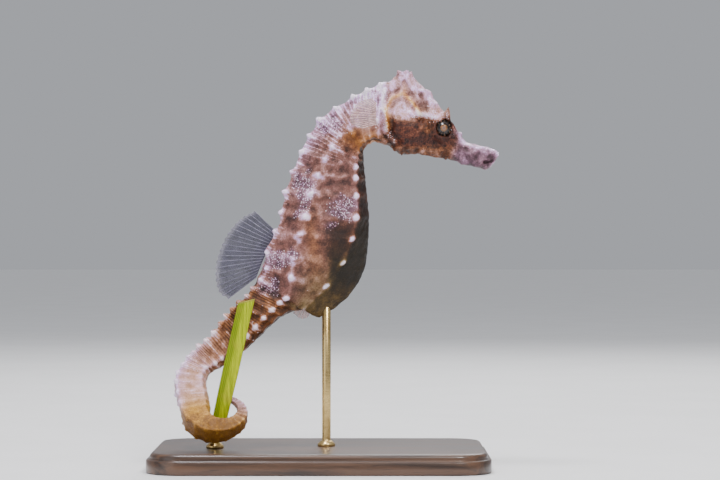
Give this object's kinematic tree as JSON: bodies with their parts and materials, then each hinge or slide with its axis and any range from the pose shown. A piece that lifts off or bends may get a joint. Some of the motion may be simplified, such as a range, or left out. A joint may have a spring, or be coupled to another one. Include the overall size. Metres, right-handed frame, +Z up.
{
  "type": "lined seahorse on a display stand",
  "caption": "Life-size still model of a deep-bellied female seahorse, upright on a small display stand, its tail curled round a cut length of seagrass.",
  "frame": {"origin": "centre of the underside of the display stand's base", "axes": "+Z up, +X the way the head faces, +Y from the animal's right flank to its left"},
  "size_m": [0.0868, 0.052, 0.0988],
  "materials": {
    "skin": "wet, bony and ringed",
    "eye": "glossy",
    "fin": "thin and clear, with rays",
    "leaf": "satin",
    "base": "satin",
    "rod": "polished"
  },
  "bodies": {
    "root": {"snout": "skin", "head": "skin", "neck": "skin", "trunk_upper": "skin", "trunk_lower": "skin", "tail_base": "skin", "tail_middle": "skin", "tail_hook": "skin", "tail_coil": "skin", "tail_tip": "skin", "coronet": "skin", "eye_right": "eye", "eye_left": "eye", "dorsal_fin": "fin", "anal_fin": "fin", "pectoral_fin_right": "fin", "pectoral_fin_left": "fin", "seagrass_leaf": "leaf", "stand_base": "base", "stand_rod_body": "rod", "stand_rod_leaf": "rod"}
  },
  "joints": []
}
